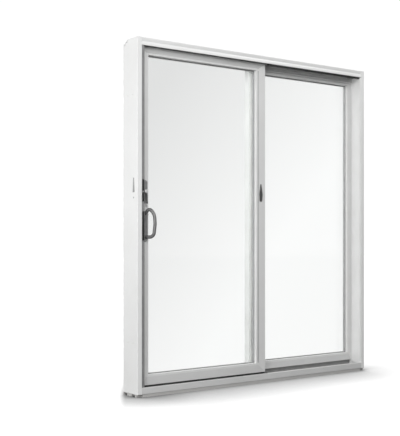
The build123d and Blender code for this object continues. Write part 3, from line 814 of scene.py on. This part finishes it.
@dataclass
class Brushes:
    """The dark pile strip under the sliding panel, in its holder. Its near-black is partly painted shade in the slit
    under the panel.
    """

    bench: Bench
    y: Pair = (-0.0445, -0.0385)
    drop: float = 0.0125
    holder: float = 0.003
    holder_seat: float = 0.0005
    holder_edge: float = 0.0006
    pitch: float = 0.004
    end_gap: float = 0.004
    tuft_radii: Pair = (0.0018, 0.0026)
    tuft_sides: int = 5
    tuft_seat: float = 0.0006

    def build(self) -> None:
        """Model one tuft, repeat it along the rail and hold it in a strip."""
        low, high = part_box("slider_bottom_rail")
        start, end = low.x + self.end_gap, high.x - self.end_gap
        tuft = self.drop - self.holder
        top = low.z - self.holder + self.tuft_seat
        self.bench.clear()
        bpy.ops.mesh.primitive_cone_add(
            vertices=self.tuft_sides, radius1=self.tuft_radii[0], radius2=self.tuft_radii[1], depth=tuft,
            location=(start + self.pitch / 2, sum(self.y) / 2, top - tuft / 2),
        )
        pile_and_shade = self.bench.settle("slider_brush_pile")
        row = pile_and_shade.modifiers.new("row", "ARRAY")
        row.count = int((end - start) / self.pitch)
        row.use_relative_offset = False
        row.use_constant_offset = True
        row.constant_offset_displace = (self.pitch, 0.0, 0.0)
        self.bench.apply(pile_and_shade, row)
        self.bench.complete(pile_and_shade, "pile_and_shade", "slider")
        strip = self.bench.cuboid(
            "slider_brush_holder",
            (start, self.y[0], low.z - self.holder),
            (end, self.y[1], low.z + self.holder_seat),
        )
        self.bench.soften(strip, self.holder_edge)
        self.bench.complete(strip, "pile_and_shade", "slider")


@dataclass
class Grip:
    """The pull's smooth bar, bent to an uneven D in a plane that leans towards the glass.

    The corners are distances out from the plate and heights, and the radii are those of
    the bends at all corners but the first and the last.
    """

    bench: Bench
    corners: tuple[Pair, ...] = (
        (-0.001, 1.028), (0.027, 1.061), (0.0605, 1.029), (0.0645, 0.972), (0.0555, 0.8985), (-0.001, 0.8985),
    )
    radii: tuple[float, ...] = (0.018, 0.062, 0.110, 0.028)
    section: Pair = (0.0098, 0.0074)
    section_sides: int = 20
    lean: Pair = (0.032, -0.056)
    seat: float = 0.004
    step: float = math.radians(9.0)
    merge: float = 0.00001

    def close(self) -> None:
        """Merge the bends' ends, cap the open end and point the normals outward."""
        bpy.ops.mesh.select_all(action="SELECT")
        bpy.ops.mesh.remove_doubles(threshold=self.merge)
        bpy.ops.mesh.select_all(action="DESELECT")
        bpy.ops.mesh.select_mode(type="EDGE")
        bpy.ops.mesh.select_non_manifold()
        bpy.ops.mesh.edge_face_add()
        self.bench.turn_outward()

    def build(self) -> None:
        """Draw the bar out run by run and bend by bend, then turn it to its plane."""
        low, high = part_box("handle_plate")
        corners = [Vector((out, 0.0, z)) for out, z in self.corners]
        heading = (corners[1] - corners[0]).normalized()
        self.bench.clear()
        bpy.ops.mesh.primitive_circle_add(
            vertices=self.section_sides, radius=1.0, fill_type="NGON", location=corners[0],
            rotation=(0.0, math.atan2(heading.x, heading.z), 0.0),
        )
        bpy.context.object.scale = (*self.section, 1.0)
        bar = self.bench.settle("handle_bar")
        self.bench.pick(bar)
        here = corners[0]
        for index, radius in enumerate(self.radii, start=1):
            before = (corners[index] - corners[index - 1]).normalized()
            after = (corners[index + 1] - corners[index]).normalized()
            turn = before.angle(after)
            reach = radius * math.tan(turn / 2)
            start = corners[index] - before * reach
            self.bench.draw_out(start - here)
            side = Vector((before.z, 0.0, -before.x))
            bpy.ops.mesh.spin(
                steps=max(2, round(turn / self.step)), angle=turn, center=start + side * radius, axis=(0.0, -1.0, 0.0)
            )
            here = corners[index] + after * reach
        self.bench.draw_out(corners[-1] - here)
        self.close()
        place = Vector(((low.x + high.x) / 2, high.y - self.seat, 0.0))
        turn = Matrix.Rotation(math.atan2(self.lean[1], self.lean[0]), 4, "Z")
        bar.data.transform(Matrix.Translation(place) @ turn)
        self.bench.complete(bar, "pewter", "slider", ("handle_grip",))


@dataclass
class ThumbLatch:
    """The smooth thumb latch: a domed hub and a lever that turns out at its tip.

    Each run of the lever has how far it goes out and down, and how its end is scaled in
    width and in thickness.
    """

    bench: Bench
    pivot: Point = (-0.84, -0.05, 1.156)
    hub: Round = (0.0104, 0.0176, 32)
    hub_out: float = 0.0098
    dome: float = 0.003
    lever_out: float = 0.0135
    lever_half: Point = (0.0072, 0.003, 0.006)
    lever_edge: float = 0.0012
    runs: tuple[tuple[float, float, float, float], ...] = (
        (-0.002, -0.018, 0.95, 0.9),
        (-0.0005, -0.020, 0.97, 0.9),
        (-0.002, -0.016, 1.04, 0.9),
        (-0.003, -0.009, 0.95, 0.9),
    )

    def build(self) -> None:
        """Model the hub and the lever."""
        x, y, z = self.pivot
        hub = self.bench.disc("latch_hub", (x, y - self.hub_out, z), Facing.ROOM, self.hub)
        self.bench.pick(hub, Facing.ROOM)
        bpy.ops.mesh.bevel(offset=self.dome, segments=4, affect="EDGES")
        middle, half = Vector((x, y - self.lever_out, z)), Vector(self.lever_half)
        lever = self.bench.cuboid("latch_lever", middle - half, middle + half)
        self.bench.pick(lever, Facing.DOWN)
        middle.z -= half.z
        for out, down, narrow, thin in self.runs:
            middle += Vector((0.0, out, down))
            self.bench.draw_out((0.0, out, down))
            bpy.ops.transform.resize(value=(narrow, thin, 1.0), center_override=middle)
        self.bench.clear()
        self.bench.soften(lever, self.lever_edge, 3)
        self.bench.complete(lever, "dark_pewter", "thumb_latch", ("thumb_latch",))
        # Painted highlight: the hub gets a pale pewter so that its side reads as lit
        self.bench.complete(hub, "pewter_painted_highlight", "thumb_latch")


@dataclass
class HardwareTrim:
    """A black rim of painted shade round the handle plate, black pads of painted shade on the jamb's seal beside both
    plates, and the key's collar.

    Each pad has a name, its plate, and the heights of its ends above the plate's lower
    end. One without an upper height ends just over the plate's upper end.
    """

    bench: Bench
    margin: float = 0.0016
    lift: float = 0.0012
    corner_gap: float = 0.0004
    shade_pad_x: Pair = (-0.0165, -0.0052)
    shade_pad_y: Pair = (-0.0042, -0.004)
    shade_pad_edge: float = 0.0016
    shade_pad_over: float = 0.001
    shade_pads: tuple[tuple[str, str, float, float | None], ...] = (
        ("handle_shade_pad", "handle_plate", 0.008, None),
        ("latch_shade_pad_low", "latch_plate", 0.009, 0.0605),
        ("latch_shade_pad_high", "latch_plate", 0.070, None),
    )
    ring: Round = (0.0145, 0.0024, 32)
    ring_rim: float = 0.0018
    ring_step: float = 0.0008
    ring_edge: float = 0.0004

    def shade_rim(self) -> None:
        """Model the rounded black rim of painted shade round the handle plate."""
        low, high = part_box("handle_plate")
        back = self.bench.cuboid(
            "handle_plate_shade_rim",
            (low.x - self.margin, high.y - self.lift, low.z - self.margin),
            (high.x + self.margin, high.y, high.z + self.margin),
        )
        self.bench.pick(back, Facing.ROOM, Facing.OUTSIDE, edges=True)
        radius = (high.x - low.x) / 2 + self.margin - self.corner_gap
        bpy.ops.mesh.bevel(offset=radius, segments=8, affect="EDGES")
        self.bench.complete(back, "painted_shade_black", "slider")

    def seal_shade_pads(self) -> None:
        """Model the black pads of painted shade on the nose of the jamb's seal beside the plates."""
        near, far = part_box("left_jamb_seal")
        for name, plate, foot, top in self.shade_pads:
            low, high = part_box(plate)
            end = high.z + self.shade_pad_over if top is None else low.z + top
            pad = self.bench.cuboid(
                name,
                (far.x + self.shade_pad_x[0], near.y + self.shade_pad_y[0], low.z + foot),
                (far.x + self.shade_pad_x[1], far.y + self.shade_pad_y[1], end),
            )
            self.bench.soften(pad, self.shade_pad_edge, 3)
            self.bench.complete(pad, "painted_shade_black", "frame")

    def collar(self) -> None:
        """Model the stepped ring round the key cylinder."""
        low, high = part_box("key_cylinder")
        centre = ((low.x + high.x) / 2, low.y + self.ring[1] / 2, (low.z + high.z) / 2)
        ring = self.bench.disc("key_collar", centre, Facing.OUTSIDE, self.ring)
        self.bench.sink(ring, Facing.OUTSIDE, self.ring_rim, (0.0, self.ring_step, 0.0))
        bpy.ops.mesh.bevel(offset=self.ring_edge, segments=2, affect="EDGES")
        self.bench.complete(ring, "zinc", "slider")

    def build(self) -> None:
        """Build the shade rim, the shade pads and the collar."""
        self.shade_rim()
        self.seal_shade_pads()
        self.collar()


@dataclass
class FrameTrim:
    """Small fittings of the frame and the rails: seals, strips, plugs, caps and covers. Several strips and the plugs
    are painted shade.
    """

    bench: Bench
    past_stile: float = 0.004
    slider_seal_lift: float = 0.0084
    rib_y: Pair = (0.0029, 0.0036)
    rib_z: Pair = (1.9495, 1.995)
    lip_shade_y: Pair = (-0.0705, -0.0604)
    lip_shade_z: Pair = (0.0534, 0.0568)
    lip_shade_gap: float = 0.001
    slot_z: Pair = (1.1505, 1.2315)
    slot_y: float = -0.033
    slot_half: Pair = (0.0108, 0.0058)
    slot_depth: Pair = (0.0008, 0.0026)
    hole_z: float = 1.1205
    hole: Round = (0.0049, 0.002, 20)
    hole_depth: float = 0.0016
    plug_edge: float = 0.0005
    cap: Round = (0.006, 0.0018, 24)
    cap_lift: float = 0.0007
    cap_edge: float = 0.0007
    cap_rows: tuple[Pair, ...] = ((-0.027, 0.029), (0.028, 0.035))
    cap_levels: Pair = (0.3, 1.7)
    weep_half: float = 0.025
    weep_y: Pair = (-0.0004, 0.0032)
    weep_z: Pair = (0.0185, 0.0285)
    weep_wall: float = 0.0009
    weep_hollow: float = 0.006
    weep_edge: float = 0.0005
    weep_places: tuple[float, ...] = (-0.6, 0.0, 0.6)
    roller: Round = (0.0065, 0.002, 24)
    roller_rim: float = 0.0022
    roller_dish: float = 0.0006
    roller_edge: float = 0.0004
    roller_inset: float = 0.13
    stile_x: Pair = (-0.0012, 0.0078)
    stile_y: Pair = (0.0004, 0.0014)
    stile_gap: float = 0.012

    def strips(self) -> None:
        """Lay the straight strips.

        They are the head's seal in two lengths, dark partly as painted shade under the head's lip;
        a grey strip of painted shade on the head's inner rib over the fixed panel; a black strip of
        painted shade along the back of the sill's front lip; and a grey strip of painted shade in
        the step of the slider's meeting stile. Each has the width of its rounded edges.
        """
        low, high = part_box("head_seal")
        bead_low, bead_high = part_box("slider_bead")
        stile_low, stile_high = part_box("slider_meeting_stile")
        meeting = stile_high.x + self.past_stile
        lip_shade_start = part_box("slider_bottom_rail")[0].x + self.lip_shade_gap
        strips = (
            # The head seal strips are near-black, partly as painted shade under the head's lip
            ("head_seal_slider", "head_pile_and_shade", "frame", 0.001,
             (low.x, low.y, low.z + self.slider_seal_lift), (meeting, high.y, high.z)),
            ("head_seal_fixed", "pile_and_shade", "frame", 0.001, (meeting, low.y, low.z), (high.x, high.y, high.z)),
            ("head_rib_shade_strip", "shade_grey", "frame", 0.0,
             (meeting, self.rib_y[0], self.rib_z[0]), (high.x, self.rib_y[1], self.rib_z[1])),
            ("sill_lip_shade_strip", "pile_and_shade", "frame", 0.0008,
             (lip_shade_start, self.lip_shade_y[0], self.lip_shade_z[0]), (stile_high.x, self.lip_shade_y[1], self.lip_shade_z[1])),
            ("meeting_stile_shade_strip", "shade_grey", "slider", 0.0003,
             (bead_high.x + self.stile_x[0], stile_low.y + self.stile_y[0], bead_low.z + self.stile_gap),
             (bead_high.x + self.stile_x[1], stile_low.y + self.stile_y[1], bead_high.z - self.stile_gap)),
        )
        for name, finish, body, edge, start, end in strips:
            strip = self.bench.cuboid(name, start, end)
            if edge:
                self.bench.soften(strip, edge)
            self.bench.complete(strip, finish, body, ("head_seal",) if name == "head_seal_slider" else ())

    def keeper_plugs(self) -> None:
        """Close the tapered slot and the round hole in the left jamb's side with grey plugs, whose grey is painted
        shade in the slot and the hole.
        """
        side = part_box("left_jamb")[0].x
        (low, high), (bottom, top), (near, far) = self.slot_z, self.slot_half, self.slot_depth
        slot = self.bench.cuboid(
            "keeper_slot_plug", (side + near, self.slot_y - bottom, low), (side + far, self.slot_y + bottom, high)
        )
        self.bench.pick(slot, Facing.UP)
        bpy.ops.transform.resize(value=(1.0, top / bottom, 1.0), center_override=(side, self.slot_y, high))
        self.bench.clear()
        centre = (side + self.hole_depth, self.slot_y, self.hole_z)
        hole = self.bench.disc("keeper_hole_plug", centre, Facing.LEFT, self.hole)
        for plug in (slot, hole):
            self.bench.soften(plug, self.plug_edge)
            self.bench.complete(plug, "slot_shade_grey", "frame")

    def screw_caps(self) -> None:
        """Cover the screw holes inside the left jamb with domed caps."""
        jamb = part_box("left_jamb")[0].x + self.cap_lift
        pattern = self.bench.disc("cap_pattern", (0.0, 0.0, 0.0), Facing.RIGHT, self.cap)
        self.bench.soften(pattern, self.cap_edge, 3)
        self.bench.spread_out(pattern, "vinyl_upright", "frame", {
            f"screw_cap_{row}{level}": (jamb + wall, y, z)
            for row, (y, wall) in enumerate(self.cap_rows) for level, z in enumerate(self.cap_levels)
        })

    def weep_covers(self) -> None:
        """Put a hooded cover over each drain slot on the outer face of the sill."""
        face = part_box("sill")[1].y
        (near, far), (bottom, top) = self.weep_y, self.weep_z
        pattern = self.bench.cuboid(
            "weep_pattern", (-self.weep_half, face + near, bottom), (self.weep_half, face + far, top)
        )
        self.bench.sink(pattern, Facing.DOWN, self.weep_wall, (0.0, 0.0, self.weep_hollow))
        self.bench.soften(pattern, self.weep_edge)
        places = {f"weep_cover_{index}": (x, 0.0, 0.0) for index, x in enumerate(self.weep_places)}
        self.bench.spread_out(pattern, "vinyl_level", "frame", places)

    def roller_caps(self) -> None:
        """Cap the roller adjusters on the outer face of the slider's bottom rail."""
        low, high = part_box("slider_bottom_rail")
        pattern = self.bench.disc("roller_pattern", (0.0, 0.0, 0.0), Facing.OUTSIDE, self.roller)
        self.bench.sink(pattern, Facing.OUTSIDE, self.roller_rim, (0.0, -self.roller_dish, 0.0))
        self.bench.soften(pattern, self.roller_edge)
        ends = (low.x + self.roller_inset, high.x - self.roller_inset)
        self.bench.spread_out(pattern, "vinyl_level", "slider", {
            f"roller_cap_{index}": (x, high.y + self.roller_dish, (low.z + high.z) / 2) for index, x in enumerate(ends)
        })

    def build(self) -> None:
        """Build every small fitting of the frame and the rails."""
        self.strips()
        self.keeper_plugs()
        self.screw_caps()
        self.weep_covers()
        self.roller_caps()


# Studio

@dataclass(frozen=True)
class Lamp:
    """A square soft light: where it hangs, the point that it faces, its side and its power."""

    name: str
    place: Point
    target: Point
    size: float
    watts: float

    def hang(self) -> None:
        """Add the light to the scene."""
        data = bpy.data.lights.new(self.name, "AREA")
        data.size = self.size
        data.energy = self.watts
        lamp = bpy.data.objects.new(self.name, data)
        lamp.location = self.place
        lamp.rotation_euler = (Vector(self.target) - Vector(self.place)).to_track_quat("-Z", "Y").to_euler()
        bpy.context.scene.collection.objects.link(lamp)


@dataclass
class Studio:
    """Pale floor, even sky, soft lights and the camera.

    The sky's light has the world's Y where it starts and ends to rise, then its strength
    at both. The glass values give what shows through the panes: a slope along the line of
    sight, added to a level and held between limits. The floor's shadow is painted into its
    glow: the end's painted shade has the distances from the lock jamb's foot where it starts
    and ends, then the light that is left there. The open side is the way across the painted
    shadow's left edge, with that edge's limits on it.
    """

    focal_px: float = 904.7
    image_height_px: float = 436.0
    horizon_px: float = 237.8
    sensor: float = 36.0
    eye: Point = (-3.6171, -4.3433, 0.8943)
    heading: float = math.radians(36.38)
    far_end: float = 100.0
    white: float = 1.04
    floor_size: float = 60.0
    floor_tone: float = 0.12
    floor_rough: float = 0.9
    floor_gloss: float = 0.1
    floor_glow: float = 0.99
    contact_reach: float = 0.6
    contact_power: float = 1.8
    touch_reach: float = 0.07
    shade_samples: int = 16
    jamb_end: Point = (-0.88, -0.02, 0.0)
    end_shade: tuple[float, ...] = (0.07, 0.42, 0.62, 1.0)
    open_side: Point = (0.852, -0.523, 0.0)
    open_limits: Pair = (-0.846, -0.796)
    sky_light: tuple[float, ...] = (-0.3, 0.5, 0.50, 1.10)
    glass_slope: Point = (1.186, 0.0, -0.626)
    glass_level: float = 0.253
    glass_limits: Pair = (0.8, 1.04)
    lamps: tuple[Lamp, ...] = (
        Lamp("side", (-5.0, -3.0, 1.2), (0.0, 0.0, 1.0), 1.2, 62.0),
        Lamp("left", (-3.0, -0.6, 1.1), (-0.9, 0.0, 1.1), 0.8, 11.0),
        Lamp("key", (-2.4, -3.2, 3.5), (-0.2, 0.0, 1.5), 1.5, 63.0),
        Lamp("right", (2.6, -2.8, 4.6), (0.6, 0.0, 1.6), 1.5, 20.0),
        Lamp("top", (1.9, -1.5, 3.8), (0.6, 0.0, 1.9), 0.8, 15.0),
    )

    def camera(self) -> None:
        """Set the camera where the photograph was taken from."""
        data = bpy.data.cameras.new("camera")
        data.sensor_width = self.sensor
        data.lens = self.focal_px / self.image_height_px * data.sensor_width
        data.shift_y = (self.horizon_px - self.image_height_px / 2) / self.image_height_px
        data.clip_end = self.far_end
        camera = bpy.data.objects.new("camera", data)
        camera.location = self.eye
        camera.rotation_euler = (QUARTER, 0.0, -self.heading)
        bpy.context.scene.collection.objects.link(camera)
        bpy.context.scene.camera = camera

    def seen_straight(self, wire: Wiring) -> Socket:
        """Tell what the camera sees, straight or through glass, from what only gives light.

        Args:
            wire: the wiring of the world or of the floor.

        Returns:
            A socket that is 1 for what is seen and 0 for what gives light.
        """
        path = wire.add("LightPath").outputs
        seen = wire.maths("MAXIMUM", path["Is Camera Ray"], path["Is Transmission Ray"])
        return wire.maths("MULTIPLY", seen, wire.maths("LESS_THAN", path["Diffuse Depth"], 0.5))

    def painted_floor_light(self, wire: Wiring) -> Socket:
        """Work out how strongly the floor glows: full far off, and darkened close to the door as a painted shadow.

        Args:
            wire: the floor's wiring.

        Returns:
            The strength.
        """
        # Painted shadow: the glow is darkened by ambient occlusion near the door, more near the lock jamb's foot, and
        # left full to the left of a line beside that foot
        contact, touch = (
            wire.add("AmbientOcclusion", {"Distance": reach}, samples=self.shade_samples).outputs["AO"]
            for reach in (self.contact_reach, self.touch_reach)
        )
        both = wire.maths("MULTIPLY", wire.maths("POWER", contact, self.contact_power), touch)
        place = wire.place()
        away = wire.vectors("DISTANCE", place, self.jamb_end).outputs["Value"]
        shaded = wire.maths("MULTIPLY", both, wire.spread(away, self.end_shade, smooth=True))
        across = wire.vectors("DOT_PRODUCT", place, self.open_side).outputs["Value"]
        kept = wire.choose(wire.spread(across, self.open_limits, smooth=True), 1.0, shaded)
        return wire.maths("MULTIPLY", wire.maths("MULTIPLY", kept, self.floor_glow), self.seen_straight(wire))

    def floor(self) -> None:
        """Lay a wide pale floor that glows where it is seen. It does not show through the glass."""
        bpy.ops.mesh.primitive_plane_add(size=self.floor_size, location=(0.0, 0.0, 0.0))
        floor = bpy.context.object
        floor.name = "floor"
        material = bpy.data.materials.new("floor")
        material.use_nodes = True
        wire = Wiring(material.node_tree)
        shader = material.node_tree.nodes["Principled BSDF"]
        wire.feed(shader, {
            "Base Color": (*grey(self.floor_tone), 1.0),
            "Roughness": self.floor_rough,
            "Specular IOR Level": self.floor_gloss,
            "Emission Color": (1.0, 1.0, 1.0, 1.0),
            "Emission Strength": self.painted_floor_light(wire),
        })
        through = wire.add("LightPath").outputs["Is Transmission Ray"]
        clear = wire.add("BsdfTransparent")
        pick = wire.add("MixShader", {0: through, 1: shader.outputs["BSDF"], 2: clear.outputs["BSDF"]})
        wire.feed(material.node_tree.nodes["Material Output"], {"Surface": pick.outputs[0]})
        floor.data.materials.append(material)

    def sky(self) -> None:
        """Light the room from all round, and show white behind the door.

        The camera meets an even white, and a soft slope of white through the glass. All
        that is only lit gets a sky that is brighter behind the door than before it.
        """
        world = bpy.data.worlds.new("sky")
        world.use_nodes = True
        bpy.context.scene.world = world
        wire = Wiring(world.node_tree)
        place = wire.place("Generated")
        light = wire.spread(wire.add("SeparateXYZ", {0: place}).outputs["Y"], self.sky_light, smooth=True)
        slope = wire.vectors("DOT_PRODUCT", place, self.glass_slope).outputs["Value"]
        low, high = self.glass_limits
        level = wire.maths("ADD", slope, self.glass_level)
        limit = wire.add("Clamp", {"Value": level, "Min": low, "Max": high}).outputs[0]
        shown = wire.choose(wire.add("LightPath").outputs["Is Transmission Ray"], self.white, limit)
        strength = wire.choose(self.seen_straight(wire), light, shown)
        wire.feed(world.node_tree.nodes["Background"], {"Strength": strength, "Color": (1.0, 1.0, 1.0, 1.0)})

    def build(self) -> None:
        """Set up the whole studio."""
        self.camera()
        self.floor()
        self.sky()
        for lamp in self.lamps:
            lamp.hang()
        view = bpy.context.scene.view_settings
        view.view_transform = "Standard"
        view.look = "None"
        view.exposure = 0.0
        view.gamma = 1.0


def main() -> None:
    """Dress the door, add its fittings and set up the studio."""
    logging.basicConfig(level=logging.INFO, format="%(name)s: %(message)s")
    palette = Palette()
    palette.build()
    palette.dress()
    bench = Bench(palette)
    for fitting in (Screws, Gaskets, Brushes, Grip, ThumbLatch, HardwareTrim, FrameTrim):
        fitting(bench).build()
        LOG.info("built %s", fitting.__name__)
    Studio().build()


if __name__ == "__main__":
    main()
